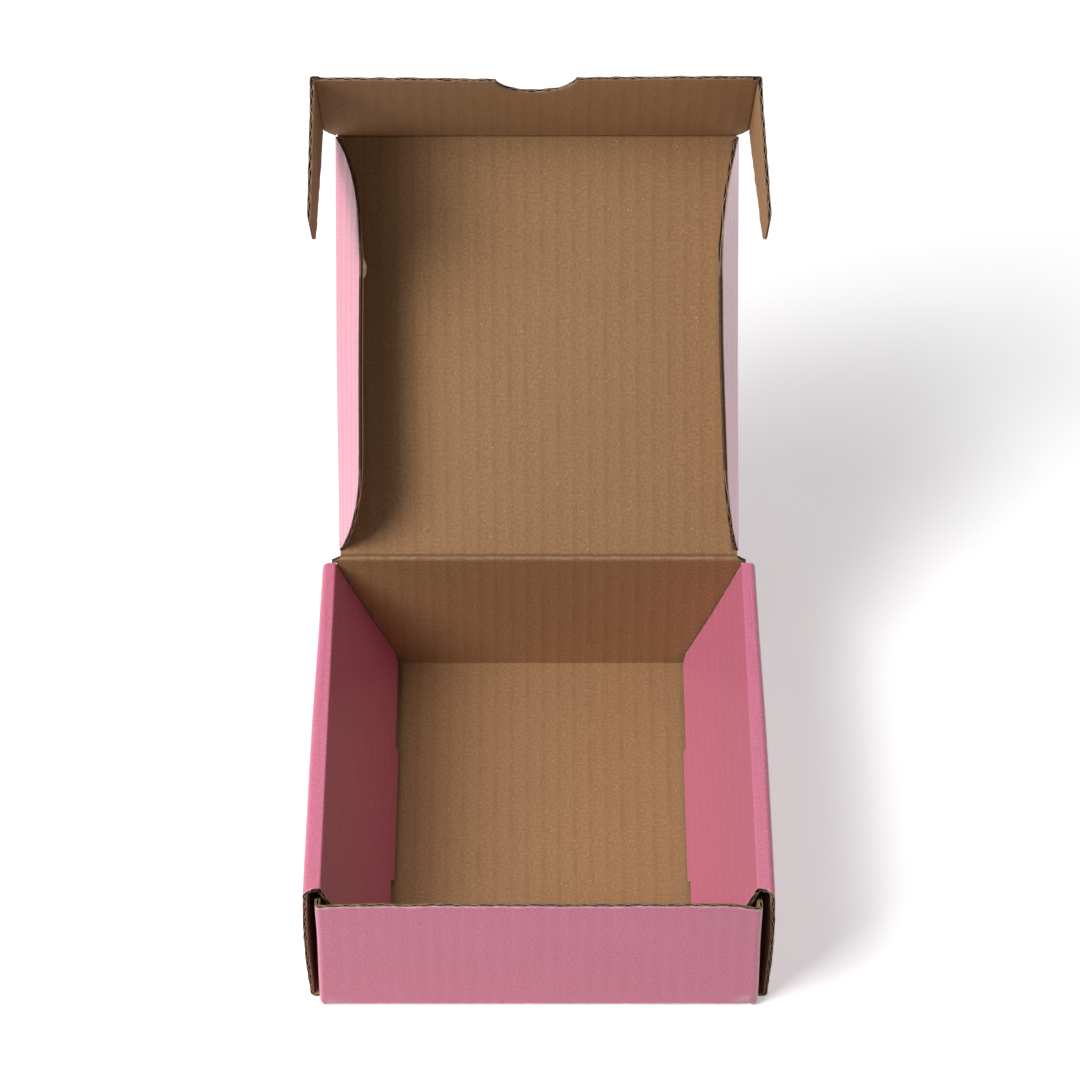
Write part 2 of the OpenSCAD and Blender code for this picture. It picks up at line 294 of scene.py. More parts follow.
def slab(shape, place, x, y, low, high, mats, wear_and_painted_light, flip):
    """A closed layer between two heights. mats are those of its low side, high side and ends.
    The ends have their own points, so that they don't shade the sides."""
    sheet = np.stack([x, y], -1)
    bottom, top = place(x, y, low), place(x, y, high)
    lo = shape.add(bottom, sheet, wear_and_painted_light)
    hi = shape.add(top, sheet, wear_and_painted_light)
    low_mat, high_mat, end_mat = mats
    shape.quads(*corners(hi), high_mat, False, flip)
    shape.quads(lo[:-1, :-1], lo[:-1, 1:], lo[1:, 1:], lo[1:, :-1], low_mat, False, flip)
    first, last = (slice(None), 0), (slice(None), -1)
    for end, turn in ((first, flip), (last, not flip), ((0,), not flip), ((-1,), flip)):
        a = shape.add(bottom[end], sheet[end], wear_and_painted_light[end])
        b = shape.add(top[end], sheet[end], wear_and_painted_light[end])
        shape.quads(a[:-1], a[1:], b[1:], b[:-1], end_mat, True, turn)


def mirrored(place, x, y):
    """True where a placing turns the sheet's left-handed side out."""
    nudge = 0.01
    middle = (float(np.mean(x)), float(np.mean(y)), 0.0)
    steps = []
    for k in range(3):
        moved = [v + nudge * (i == k) for i, v in enumerate(middle)]
        steps.append(place(*np.array(moved)) - place(*np.array(middle)))
    return bool(np.linalg.det(np.array(steps)) < 0)


def away(distance):
    """0 at a fold and 1 away from it."""
    return 1 - np.exp(-((distance / FOLD_REACH) ** 2))


def washboard(x, y, ends, cut, folds):
    """Height of the ripple in the liners, which fades toward folds."""
    ripple = np.full_like(x, WASHBOARD)
    for fold in folds:
        ripple = ripple * away(x - fold)
    for k, end in enumerate(ends):
        if not cut[k]:
            ripple = ripple * away(y - end[:, None])
    return ripple


def opened(x, y, ends, cut):
    """How near each point is to an open end, as is and weighted by how crushed that end is."""
    open_end, fray = np.zeros_like(x), np.zeros_like(x)
    for k, end in enumerate(ends):
        if cut[k]:
            near = np.exp(-np.abs(y - end[:, None]) / OPEN_REACH)
            open_end = np.maximum(open_end, near)
            fray = np.maximum(fray, cut[k] * near)
    return open_end, fray


def crushed(x, y, ends, cut, seed):
    """How pressed together, scuffed and wavy the board is toward its ends."""
    pressed, wear_and_painted_light, wave = (np.zeros_like(x) for _ in range(3))
    for k, end in enumerate(ends):
        far = np.abs(y - end[:, None])
        uneven = 0.65 + 0.35 * np.clip(wobble(x, seed + k, 16, 1), -1, 1)
        pressed = np.maximum(pressed, cut[k] * uneven * np.exp(-far / PRESS_REACH))
        wear_and_painted_light = np.maximum(wear_and_painted_light, min(1.0, 5 * cut[k]) * np.exp(-far / WEAR_REACH))
        bumps = wobble(x, seed + 7 + k, 13, 1)
        wave = wave + WAVE * cut[k] * bumps * np.exp(-far / WAVE_REACH)
    return pressed, wear_and_painted_light, wave


def board(shape, place, xs, lo, hi, shares, cut=(0, 0), seed=1, folds=(), lift=None, pinch=0.0,
          outer_cut=EDGE):
    """Fluted board whose flutes run along y. lo and hi give its two ends at each x, shares its
    rows between them, and cut how crushed and scuffed each end is, with 0 at a fold. folds are the
    x of its folds along the flutes, lift is how far its inner liner has come off them, and pinch
    how far the edge at its last x is pressed together. outer_cut is what the outer liner's cut
    ends are made of."""
    ends = lo(xs), hi(xs)
    y = row_places(*ends, shares)
    x = np.repeat(np.asarray(xs, float)[:, None], y.shape[1], 1)
    pressed, wear_and_painted_light, wave = crushed(x, y, ends, cut, seed)
    open_end, fray = opened(x, y, ends, cut)
    scale = 1 - np.maximum(pressed, pinch * np.exp(-np.abs(x - xs[-1]) / PINCH_REACH))
    flute = np.sin(2 * math.pi * x / PITCH)
    ripple = washboard(x, y, ends, cut, folds) * flute
    bottom = wave - (FACE - ripple) * scale
    top = wave + (FACE + ripple) * scale
    liner = LINER + FRAY * fray * scale
    medium = MEDIUM / 2 + OPEN_MEDIUM * open_end
    mid = wave + (HALF - LINER - MEDIUM / 2 + SUNK - OPEN_DROP * open_end) * flute * scale
    flip = mirrored(place, x, y) != (xs[-1] < xs[0])
    slab(shape, place, x, y, bottom, bottom + LINER, (PINK, EDGE, outer_cut), wear_and_painted_light, flip)
    slab(shape, place, x, y, mid - medium, mid + medium, (EDGE, EDGE, EDGE), wear_and_painted_light, flip)
    inner_wear = 0.3 * wear_and_painted_light
    if lift:
        off = lift(x, y)
        top = top + off
        inner_wear = np.maximum(inner_wear, np.clip(2 * off, 0, 1))
    slab(shape, place, x, y, top - liner, top, (EDGE, KRAFT, EDGE), inner_wear, flip)


# Creases

def plain_tone(r):
    """No shade of its own."""
    return 0.0 * r


def crease_painted_shade(r):
    """Painted shade in the groove of a narrow closed fold."""
    return -math.exp(-(r / 0.4) ** 2)


def hinge_painted_light(r):
    """Painted light on the lid's hinge: a pale painted highlight along its pressed ridge, with a
    painted shadow in the groove above it.
    """
    return 0.9 * math.exp(-((r + 0.25) / 0.38) ** 2) - 0.75 * math.exp(-((r - 0.85) / 0.45) ** 2)


class Rings:
    """Rows of points that run along a fold between its ends lo and hi, each at a distance from
    it. sheet_at gives a distance's place on the sheet."""

    def __init__(self, lo, hi, steps, sheet_at, across):
        self.lo, self.hi = lo, hi
        self.sheet_at, self.across = sheet_at, across
        self.along = np.linspace(0, 1, steps)
        self.points, self.sheet, self.wear_and_painted_light = [], [], []

    def add(self, r, point, wear_and_painted_light):
        """Adds the row at the distance r. point turns places along the fold into points."""
        q = self.lo(r) + (self.hi(r) - self.lo(r)) * self.along
        place = np.full_like(q, self.sheet_at(r))
        self.points.append(point(q))
        self.sheet.append(np.stack([place, q] if self.across else [q, place], -1))
        self.wear_and_painted_light.append(np.full_like(q, wear_and_painted_light))


def beside_fold(place, r, h, wavy):
    """Points of one panel at the distance r from a fold whose line wanders by wavy."""
    return lambda q: place(r + wobble(q, 91, 9, wavy) * math.exp(-abs(r)), q, np.full_like(q, h))


def round_fold(sides, rise, share):
    """Points on the round outside of a fold, at a share of the way round it."""
    def point(q):
        zero, down = np.zeros_like(q), np.full_like(q, -rise)
        centre = sides[0](zero, q, zero)
        a, b = (place(zero, q, down) - centre for place in sides)
        angle = np.arccos(np.clip((a * b).sum(-1) / rise**2, -1, 1))[:, None]
        turned = np.sin((1 - share) * angle) * a + np.sin(share * angle) * b
        return centre + turned / np.sin(angle)

    return point


def add_outside(rings, sides, rise, wavy, wear_and_painted_light):
    """Rows of a fold's pink side: in to the fold on one panel, round it, and out on the other."""
    def height(r):
        return -FACE + (FACE - rise) * smooth(1 + r / CRUSH)

    for r in OUTER_ROWS:
        rings.add(r, beside_fold(sides[0], r, height(r), wavy), wear_and_painted_light * math.exp(r))
    for share in (0.2, 0.4, 0.6, 0.8):
        rings.add(0.0, round_fold(sides, rise, share), wear_and_painted_light)
    for r in reversed(OUTER_ROWS):
        rings.add(-r, beside_fold(sides[1], -r, height(r), wavy), wear_and_painted_light * math.exp(r))


def add_inside(rings, sides, band, valley, wavy, tone):
    """Rows of a fold's kraft side, back to where its pink side started."""
    def height(r):
        return valley + (FACE - valley) * smooth(np.abs(r) / band)

    def floor_line(q):
        h = height(FLOOR_ROW)
        near = [beside_fold(place, r, h, wavy)(q) for place, r in zip(sides, (-FLOOR_ROW, FLOOR_ROW))]
        return (near[0] + near[1]) / 2

    for r in INNER_ROWS:
        rings.add(r, beside_fold(sides[1], r, height(r), wavy), tone(r))
    rings.add(0.0, floor_line, tone(0.0))
    for r in reversed(INNER_ROWS):
        rings.add(-r, beside_fold(sides[0], -r, height(r), wavy), tone(-r))


def fold_end(shape, rim, inside, sheet, flip):
    """Closes the end of a fold's skin by the thickness of its liners round a hollow painted dark as
    shade. rim is its outline and inside the outline further in."""
    across = rim[::-1] - rim
    apart = np.maximum(np.linalg.norm(across, axis=1, keepdims=True), RIM)
    inner = rim + across * np.minimum(RIM / apart, 0.3)
    deep = inner + HOLLOW * (inside - rim) / np.linalg.norm(inside - rim, axis=1, keepdims=True)
    # A pale rim, then painted shade that darkens down into the hollow.
    loops = [shape.add(p, sheet, wear_and_painted_light) for p, wear_and_painted_light in ((rim, 0.4), (inner, -0.2), (deep, -1.0))]
    for a, b in zip(loops[:-1], loops[1:]):
        shape.quads(a, np.roll(a, -1), np.roll(b, -1), b, EDGE, True, flip)
    number, i, j = loops[-1], 0, len(rim) - 1
    while j - i > 2:
        shape.quads(*[number[k:k + 1] for k in (i, i + 1, j - 1, j)], EDGE, True, flip)
        i, j = i + 1, j - 1


def skin(rings, outer_rows):
    """The closed skin of a fold, of which the first outer_rows rows are pink and the rest kraft."""
    points, sheet, wear_and_painted_light = (np.stack(rows) for rows in (rings.points, rings.sheet, rings.wear_and_painted_light))
    normal = np.cross(points[1, 1] - points[0, 1], points[0, 1] - points[0, 0])
    flip = bool(normal @ (points[0, 0] - points.mean((0, 1))) > 0)
    shape = Shape()
    for part, mat in ((slice(0, outer_rows), PINK), (slice(outer_rows, None), KRAFT)):
        number = shape.add(points[part], sheet[part], wear_and_painted_light[part])
        shape.quads(*corners(number), mat, False, flip)
    for i, j in ((outer_rows - 1, outer_rows), (-1, 0)):
        a, b = (shape.add(points[k], sheet[k], wear_and_painted_light[k]) for k in (i, j))
        shape.quads(a[:-1], b[:-1], b[1:], a[1:], EDGE, True, flip)
    fold_end(shape, points[:, 0], points[:, 1], sheet[:, 0], not flip)
    fold_end(shape, points[:, -1], points[:, -2], sheet[:, -1], flip)
    return shape


def crease(name, sides, lo, hi, sheet_at, band=2.6, valley=0.1, rise=FACE, steps=24,
           across=True, tone=plain_tone, outer_wear=0.4, wavy=0.0):
    """Skin over a fold. sides are the places of its two panels, which put (distance from the fold,
    place along it, height), with distances below 0 on the first. The kraft side is pressed in to
    valley over the width of band. across says that x on the sheet runs across the fold."""
    rings = Rings(lo, hi, steps, sheet_at, across)
    add_outside(rings, sides, rise, wavy, outer_wear)
    outer_rows = len(rings.points)
    add_inside(rings, sides, band, valley, wavy, tone)
    obj = skin(rings, outer_rows).build(name, MATERIALS)
    mid = np.array([(lo(0.0) + hi(0.0)) / 2])
    start = sides[0](np.array([-BLEND_REACH]), mid, np.zeros(1))[0] * MM
    end = sides[1](np.array([BLEND_REACH]), mid, np.zeros(1))[0] * MM
    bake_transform(obj)


# Placing of the sheet's parts

def path(start, heading, moves):
    """A line with round bends in a plane, made of moves with a length, radius and turn. Returns
    a function of the distance along it and the height to its left, and its length."""
    pieces = []
    p, a, s = np.array(start, float), heading, 0.0
    for length, radius, turn in moves:
        pieces.append((s, p.copy(), a, radius, turn))
        if turn:
            length = radius * abs(turn)
            centre = p + radius * np.array([-math.sin(a), math.cos(a)])
            p = centre + radius * np.array([math.sin(a + turn), -math.cos(a + turn)])
            a += turn
        else:
            p = p + length * np.array([math.cos(a), math.sin(a)])
        s += length

    def at(t, h):
        """The points, where each piece takes over from the ones before it."""
        t, h = np.broadcast_arrays(np.asarray(t, float), np.asarray(h, float))
        u, v = np.zeros(t.shape), np.zeros(t.shape)
        for k, (s0, p0, a0, radius, turn) in enumerate(pieces):
            here = (t >= s0) | (k == 0)
            d = t - s0
            if turn:
                ang = a0 + d / radius
                cu, cv = p0[0] - radius * math.sin(a0), p0[1] + radius * math.cos(a0)
                pu, pv = cu + (radius - h) * np.sin(ang), cv - (radius - h) * np.cos(ang)
            else:
                pu = p0[0] + d * math.cos(a0) - h * math.sin(a0)
                pv = p0[1] + d * math.sin(a0) + h * math.cos(a0)
            u, v = np.where(here, pu, u), np.where(here, pv, v)
        return u, v

    return at, s


# Front wall, floor and back wall as one line, from the front wall's top to the lid's hinge
BEND_RUN = BEND * QUARTER
FRONT_RUN = FRONT_H - HALF - BEND
FLOOR_RUN = BACK_Y - FRONT_Y - THICK - 2 * BEND
BACK_RUN = CREASE_Z - CRUSH - HALF - BEND
FLOOR_START = FRONT_RUN + BEND_RUN
BACK_START = FLOOR_START + FLOOR_RUN + BEND_RUN
U_PATH, U_LENGTH = path((FRONT_Y + HALF, FRONT_H), -QUARTER, [
    (FRONT_RUN, 0, 0), (0, BEND, QUARTER), (FLOOR_RUN, 0, 0), (0, BEND, QUARTER),
    (BACK_RUN, 0, 0)])
# Rows of points down the front wall, along the floor and, from its top, down the back wall
FRONT_ROWS = [6 + 7 * k for k in range(9)]
FLOOR_ROWS = [90, 130, 175, 215]
BACK_ROWS = [40, 15]


def settle(points):
    """Pushes the foot of the front wall out a little, most at its corners."""
    x, y, z = points[..., 0], points[..., 1], points[..., 2]
    low = smooth(1 - z / 50) * smooth((-60 - y) / 20)
    corner = smooth((np.abs(x) - 76) / 8)
    return points + vec(np.sign(x) * FOOT_WIDE * low * corner, -FOOT_OUT * low, 0)


def u_place(x, s, h):
    """Places the line of front wall, floor and back wall."""
    y, z = U_PATH(s, h)
    return settle(vec(x, y, z))


def floor_s(y):
    """Distance along the front wall and floor of a place on the floor."""
    return FLOOR_START + y - (FRONT_Y + HALF + BEND)


def lid_point(x, y, h):
    """Places the lid, whose y runs up from its hinge."""
    x = x - LID_SKEW * smooth(np.asarray(y, float) / 90)
    return vec(x, BACK_Y - HALF + y * math.cos(LID_RISE) - h * math.sin(LID_RISE),
               CREASE_Z + y * math.sin(LID_RISE) + h * math.cos(LID_RISE))


def tuck_point(x, y, h):
    """Places the tuck flap, whose y runs from its fold."""
    c, s = math.cos(TUCK_TURN), math.sin(TUCK_TURN)
    return lid_point(x, LID_L + y * c - h * s, y * s + h * c)


def shifted_tuck(x, y, h):
    """The tuck flap sits a little to the left of the lid."""
    return tuck_point(x + TUCK_SHIFT, y, h)


def folded(base, fold_x, angle, side, twist=lambda y: 0.0 * y):
    """Places a flap that turns up by angle from base at fold_x. abs(x) runs out along it. twist
    gives how much further it turns at each y."""
    def place(x, y, h):
        e = np.abs(x) - fold_x
        turn = angle + twist(y) * smooth(e / 6)
        c, s = np.cos(turn), np.sin(turn)
        return base(side * (fold_x + e * c - h * s), y, e * s + h * c)

    return place


def from_fold(base, fold_x, side):
    """A placing whose distances count outward from the fold at fold_x."""
    return lambda r, y, h: base(side * (fold_x + r), y, h)


def panel_place(side):
    """Places an inner panel, whose x runs down from its fold."""
    c, s = math.cos(PANEL_FOLD[side]), math.sin(PANEL_FOLD[side])

    def place(x, y, h):
        e = np.abs(x) - PANEL_X
        bow = PANEL_BOW * side * np.sin(np.clip(e / PANEL_H, 0, 1) * math.pi)
        return vec(side * (ROLL_X - (e * c - h * s)) + bow, y, STRIP_Z - (e * s + h * c))

    return place


# Tray

def corner_sag(x):
    """How far the front wall's top edge drops toward its two ends."""
    return np.where(x < 0, SAG[0], SAG[1]) * smooth((np.abs(x) - 70) / 14)


def front_end(x):
    """Cut top edge of the front wall, as a distance from its full height."""
    return 0.2 + wobble(x, 3, 30, 0.2) + corner_sag(x)


def clipped(x):
    """How far the floor's corners are cut back, behind the round bend of the corner flaps."""
    return 3.0 * smooth((np.abs(x) - FLAP_X + 2.0) / 1.6) - 0.3


def make_tray():
    """The tray: one board across the middle, narrow ones beside it in front of and behind each
    slot, the rims beside those, the side walls and the corner flaps."""
    shape = Shape()
    slot_front, slot_back = floor_s(SLOT_Y0), floor_s(SLOT_Y1)
    rest = U_LENGTH - slot_back
    front_arc, back_arc = arc_marks(FRONT_RUN, BEND_RUN), arc_marks(BACK_START, -BEND_RUN)
    back_marks = back_arc + [U_LENGTH - r for r in BACK_ROWS]
    rows = through(front_arc + FRONT_ROWS + FLOOR_ROWS + back_marks, U_LENGTH)
    front_rows = through(front_arc + FRONT_ROWS + FLOOR_ROWS[:1], slot_front)
    back_rows = through([mark - slot_back for mark in back_marks], rest)
    before, after, top = constant(slot_front), constant(slot_back), constant(U_LENGTH)
    cut = (0.25, 0)
    middle = columns(-SLOT_X0, SLOT_X0)
    board(shape, u_place, middle, front_end, top, rows, cut, seed=5, outer_cut=PINK)
    for side in (-1, 1):
        beside = columns(side * SLOT_X0, side * FLAP_ROOT_X)
        rim = columns(side * FLAP_ROOT_X, side * FLAP_X)
        board(shape, u_place, beside, front_end, before, front_rows, cut, seed=5, outer_cut=PINK)
        board(shape, u_place, beside, after, top, back_rows, seed=5)
        board(shape, u_place, rim, lambda x: FRONT_RUN + clipped(x), before, even(3), seed=5)
        board(shape, u_place, rim, after, lambda x: BACK_START - clipped(x), even(3), seed=5)
        side_wall(shape, side)
        for front in (True, False):
            corner_flap(shape, side, front)
    finish_board(shape, "tray")


def side_wall(shape, side):
    """Outer side wall with its strip rolled over, bulging a little at its front end."""
    foot = WALL_X - BEND - SLOT_X1
    rise = STRIP_Z - HALF - 2 * BEND
    wall0 = foot + BEND_RUN
    wall1 = wall0 + rise
    bulge, lean = 1.1, 1.2
    at, length = path((SLOT_X1, HALF), 0.0, [
        (foot, 0, 0), (0, BEND, QUARTER), (rise, 0, 0), (0, BEND, QUARTER),
        (WALL_X - BEND - ROLL_X - CRUSH, 0, 0)])

    def place(x, y, h):
        u, z = at(np.abs(x) - SLOT_X1, h)
        up = np.sin(np.clip(z / STRIP_Z, 0, 1) * math.pi)
        near = smooth((70 - (y - FRONT_Y)) / 70)
        lean_in = lean * smooth((y + 20) / 100) * smooth(z / STRIP_Z)
        return vec(side * (u + bulge * up * near - lean_in), y, z)

    def front(x):
        s = np.abs(x) - SLOT_X1
        forward = 1.3 * smooth((foot + 12 - s) / 12)
        slant = 2.0 * smooth((s - wall1) / 4.5)
        return FRONT_Y + 5 - forward + slant + wobble(s, 11 + side, 5, 0.12)

    stops = [0, *arc_marks(foot, BEND_RUN), *arc_marks(wall1, BEND_RUN), length]
    xs = columns(*[side * (SLOT_X1 + s) for s in stops])
    back = constant(BACK_Y - 2.6)
    board(shape, place, xs, front, back, even(7), cut=(0.3, 0.3), seed=21, folds=[xs[-1]])


def corner_flap(shape, side, front):
    """Flap turned back from the end of the front or back wall."""
    near_y, toward = (FRONT_Y + HALF, 1) if front else (BACK_Y - HALF, -1)
    start = FLAP_X - HALF - CORNER_R - FLAP_ROOT_X
    bend = CORNER_R * QUARTER
    flap0 = start + bend
    shoulder, fall = 2.6, 2.4
    at, total = path((FLAP_ROOT_X, 0), 0.0, [
        (start, 0, 0), (0, CORNER_R, QUARTER), (CORNER_L, 0, 0)])

    def place(x, z, h):
        u, v = at(np.abs(x) - FLAP_ROOT_X, h)
        points = vec(side * u, near_y + toward * v, z)
        return settle(points) if front else points

    def low(x):
        s = np.abs(x) - FLAP_ROOT_X
        taper = CORNER_TAPER * np.clip((s - flap0) / CORNER_L, 0, 1)
        return 2.6 - 1.5 * smooth(1 - s / flap0) + taper

    def high(x):
        s = np.abs(x) - FLAP_ROOT_X
        taper = CORNER_TAPER * np.clip((s - 6) / (CORNER_L - 4), 0, 1)
        if not front:
            return np.minimum(59.2, 67.4 - 9 * smooth(s / 2)) - taper
        top = 64.8 - corner_sag(x)
        beyond = s - flap0 - shoulder
        return np.where(beyond < 0, top, np.maximum(58.9 - taper, top - fall * beyond))

    stops = [0, *arc_marks(start, bend), flap0 + shoulder, flap0 + 2 * shoulder, total]
    xs = columns(*[side * (FLAP_ROOT_X + s) for s in stops])
    board(shape, place, xs, low, high, even(9 if front else 3), cut=(0, 0.2), seed=31)


# Inner panels

def make_panel(side):
    """Inner panel with its lock tab, and the fold that joins it to the strip."""
    name = SIDE[side] + "_inner_panel"
    place = panel_place(side)

    def front(x):
        return PANEL_Y0 + wobble(np.abs(x) - PANEL_X, 41 + side, 9, 0.15)

    def back(x):
        to_foot = np.abs(x) - PANEL_X - PANEL_H
        return PANEL_Y1 - np.clip(to_foot + PANEL_CHAMFER, 0, PANEL_CHAMFER)

    def tab_front(x):
        return TAB_Y0 + TAB_SLANT * (np.abs(x) - PANEL_X - PANEL_H) / TAB_H

    def tab_back(x):
        return TAB_Y1 - TAB_SLANT * (np.abs(x) - PANEL_X - PANEL_H) / TAB_H

    shape = Shape()
    root, end, tip = PANEL_X + CRUSH, PANEL_X + PANEL_H, PANEL_X + PANEL_H + TAB_H
    xs = columns(side * root, side * (end - PANEL_CHAMFER), side * end)
    tab_xs = columns(side * end, side * tip)
    cut = (0.2, 0.1)
    board(shape, place, xs, front, back, even(11), cut, seed=43, folds=[xs[0]])
    board(shape, place, tab_xs, tab_front, tab_back, even(5), cut, seed=43)
    finish_board(shape, name)

    def strip(r, y, h):
        return vec(side * (ROLL_X - r), y, STRIP_Z - h)

    crease(name + "_fold", (strip, from_fold(place, PANEL_X, side)),
           lambda r: FRONT_Y + 7.0 + 0.2 * r, lambda r: PANEL_Y1 + 0.1 * (r < 0),
           lambda r: side * (PANEL_X + r), band=1.5, steps=20, outer_wear=0.12)


# Lid with its side flaps

def make_lid():
    """The lid, its hinge and the fold of the tuck flap."""
    shape = Shape()
    xs = columns(-(LID_X - CRUSH), LID_X - CRUSH)
    low, high = constant(CRUSH), constant(LID_L - CRUSH)
    board(shape, lid_point, xs, low, high, even(7), seed=51, folds=[xs[0], xs[-1]])
    finish_board(shape, "lid")

    def wall(r, x, h):
        return vec(x, BACK_Y - HALF - h, CREASE_Z + r)

    def leaf(r, x, h):
        return lid_point(x, r, h)

    def tuck_root(r, x, h):
        return lid_point(x, LID_L + r, h)

    def tuck_leaf(r, x, h):
        return tuck_point(x, r, h)

    def hinge_end(r):
        return 79.9 + 1.4 * max(-r, 0.0)

    # The hinge's kraft side has a painted highlight on its ridge and a painted shadow above it.
    crease("lid_hinge_fold", (wall, leaf), lambda r: -hinge_end(r), hinge_end,
           lambda r: r if r > 0 else U_LENGTH + CRUSH + r, band=1.6, valley=0.6, rise=0.75,
           steps=120, across=False, tone=hinge_painted_light, wavy=0.15)
    # The tuck fold's kraft side has painted shade in its groove.
    crease("tuck_fold_line", (tuck_root, tuck_leaf),
           lambda r: -LID_X, lambda r: LID_X, lambda r: r if r > 0 else LID_L + r,
           band=1.3, steps=60, across=False, tone=crease_painted_shade)


def bezier_y(points, out):
    """Height along a quadratic curve where it is out away from the fold."""
    t = np.linspace(0, 1, 80)
    p = [np.array(q, float) for q in points]
    c = ((1 - t) ** 2)[:, None] * p[0] + (2 * t * (1 - t))[:, None] * p[1] + (t * t)[:, None] * p[2]
    return np.interp(out, c[:, 1], c[:, 0])


def flap_low(x):
    """Edge of a side flap by the lid's hinge, curving out from the fold."""
    return bezier_y([(CRUSH, 0), (17, WIDE), (37, WIDE)], np.abs(x) - LID_X)


def flap_high(x):
    """Edge of a side flap by the tuck flap, curving out from the fold."""
    return bezier_y([(LID_L - 0.9, 0), (LID_L - 20.5, WIDE), (LID_L - 55, WIDE)], np.abs(x) - LID_X)


def loose_liner(side):
    """How far a side flap's inner liner has come off the flutes beside the cut edge."""
    start, end, height = LOOSE[side]

    def lift(x, y):
        along = np.clip((y - start) / (end - start), 0, 1)
        high = flap_high(x)
        from_edge = np.where(y < high, high - y, 0) + (WIDE - (np.abs(x) - LID_X))
        return height * np.sin(math.pi * along) ** 1.3 * smooth(1 - from_edge / 3)

    return lift


def make_side_flap(side):
    """Side flap of the lid, leaning in unevenly along its fold."""
    name = SIDE[side] + "_lid_flap"

    def twist(y):
        return np.radians(np.interp(y, LEAN_Y, LEAN[side]))

    place = folded(lid_point, LID_X, SIDE_FOLD[side], side, twist)
    shape = Shape()
    outs = [CRUSH, 10, 20, 26, 28, 29, 29.4, 29.7, 29.85, 29.95, WIDE]
    xs = columns(*[side * (LID_X + e) for e in outs])
    board(shape, place, xs, flap_low, flap_high, even(48), cut=(0.2, 0.2), seed=61 + side,
          folds=[xs[0]], lift=loose_liner(side))
    finish_board(shape, name)
    crease(name + "_fold",
           (from_fold(lid_point, LID_X, side), from_fold(place, LID_X, side)),
           lambda r: float(flap_low(LID_X + r)) if r >= 0 else CRUSH,
           lambda r: float(flap_high(LID_X + r)) if r >= 0 else LID_L - CRUSH,
           lambda r: side * (LID_X + r))


# Tuck flap with its ears

def tuck_low(x):
    """Edge of the tuck flap beside its fold, where it is wider than the lid."""
    return 0.8 + 1.1 * (np.abs(x) - LID_X)


def tuck_high(x):
    """Free edge of the tuck flap, with its thumb notch and a slight bow."""
    notch = np.sqrt(np.clip(NOTCH_R**2 - x**2, NOTCH_UP**2, None)) - NOTCH_UP
    bow = np.interp(x, [-80, -50, -16, 16, 50, 80], [-0.6, -0.8, -2.2, -0.4, 0.6, 1.1])
    return TUCK_H - notch - 0.4 + bow + wobble(x, 71, 12, 0.15)


def make_tuck():
    """The tuck flap: a board as wide as the lid, and narrow ones out to the ears' folds."""
    shape = Shape()
    half = [11, 13.5, 14.8, 15.3, 15.5, NOTCH_X, LID_X]
    middle = columns(*[-x for x in reversed(half)], 0, *half)
    cut = (0, 0.4)
    board(shape, shifted_tuck, middle, constant(CRUSH), tuck_high, even(6), cut, seed=73)
    for side in (-1, 1):
        xs = columns(side * LID_X, side * (EAR_X - CRUSH))
        board(shape, shifted_tuck, xs, tuck_low, tuck_high, even(6), cut, seed=73, folds=[xs[-1]])
    finish_board(shape, "tuck_flap")


def ear_low(e):
    """Edge of an ear on the lid's side: a step, a slanting edge and a round corner."""
    corner = EAR_CENTRE[1] - np.sqrt(np.clip(EAR_R * EAR_R - (e - EAR_CENTRE[0]) ** 2, 0, None))
    slant = EAR_STEP_Y[1] + (e - EAR_STEP[1]) * math.tan(EAR_SLANT)
    step = np.interp(e, EAR_STEP, EAR_STEP_Y)
    return np.where(e < EAR_STEP[1], step, np.where(e < EAR_SLANT_END, slant, corner))


def ear_high(e):
    """Edge of an ear on the free side: straight, with a round corner at the tip."""
    d = np.clip(e - (EAR_L - EAR_TIP_R), 0, EAR_TIP_R)
    return TUCK_H - 0.6 - EAR_TIP_R + np.sqrt(np.clip(EAR_TIP_R * EAR_TIP_R - d * d, 0, None))


def make_ear(side):
    """Ear of the tuck flap, pinched at its tip."""
    name = SIDE[side] + "_ear"
    place = folded(shifted_tuck, EAR_X, EAR_FOLD[side], side)

    def low(x):
        return ear_low(np.abs(x) - EAR_X) + wobble(x, 80, 8, 0.15)

    def high(x):
        return ear_high(np.abs(x) - EAR_X) + wobble(x, 81, 8, 0.15)

    shape = Shape()
    outs = [CRUSH, 4, 7, 10, EAR_SLANT_END, 52, 53.5, 54.5, 55.2, 55.6, 55.85, EAR_L]
    xs = columns(*[side * (EAR_X + e) for e in outs])
    board(shape, place, xs, low, high, even(6), cut=(0.3, 0.3), seed=83, folds=[xs[0]], pinch=0.6)
    finish_board(shape, name)
    # The ear's fold has painted shade in its groove.
    crease(name + "_fold",
           (from_fold(shifted_tuck, EAR_X, side), from_fold(place, EAR_X, side)),
           lambda r: 7.5 + 1.1 * min(0.0, r + 0.5), lambda r: TUCK_H - 0.4,
           lambda r: side * (EAR_X + r), band=1.5, steps=20, tone=crease_painted_shade)


# Materials

